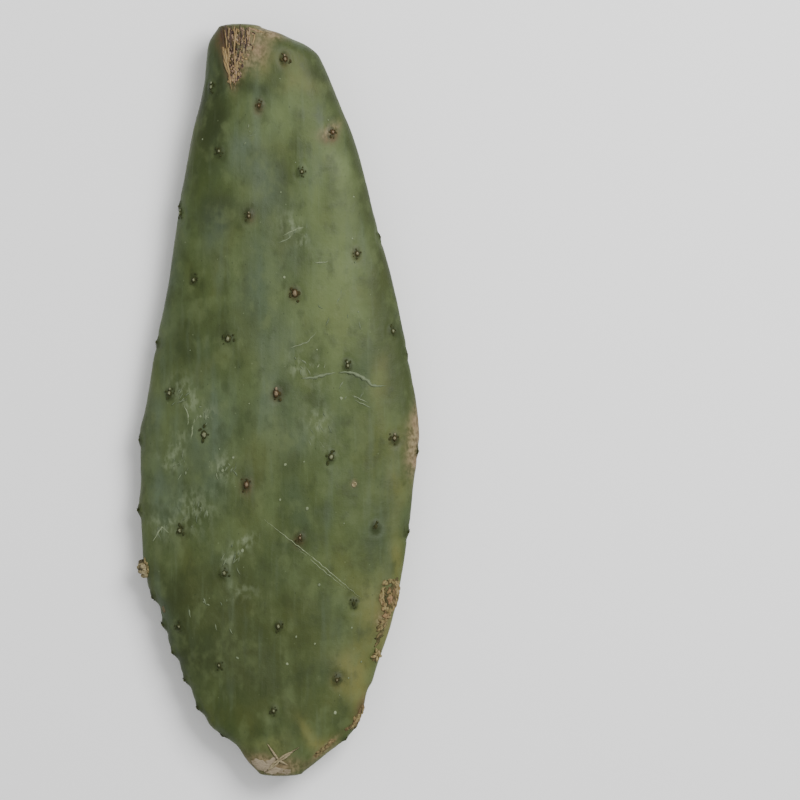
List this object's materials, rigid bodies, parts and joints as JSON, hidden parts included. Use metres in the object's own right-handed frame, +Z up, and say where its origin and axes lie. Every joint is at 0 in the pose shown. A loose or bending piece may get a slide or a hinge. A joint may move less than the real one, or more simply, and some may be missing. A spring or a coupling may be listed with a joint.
{
  "type": "prickly pear cactus pad",
  "caption": "Flat, fleshy cactus stem joint lying on its face, long and tapered, with areoles in spiral rows, low knobs on its margins and a torn scar at its base.",
  "frame": {"origin": "on the surface the pad rests on, under the middle of its bounding box", "axes": "+Z up through the pad's thickness; +Y along the pad, from its growing tip to the scar at its base; +X to the right, seen from above with the base scar away from the viewer"},
  "size_m": [0.1214, 0.3208, 0.0293],
  "materials": {
    "skin": "waxy grey-green plant skin, satin, with corky tan scars and dark brown areoles",
    "cork": "dry tan scar cork, matt and crumbly",
    "areole_felt": "short dark brown plant felt, without shine",
    "spine": "pale horn of blunt spine stubs and short brown bristles, with a low shine",
    "fibre": "dried golden to purple-brown plant fibre, matt",
    "scar_tissue": "thin dry grey-green scar tissue in healed scratches, matt"
  },
  "bodies": {
    "root": {"pad": "skin"}
  },
  "joints": []
}
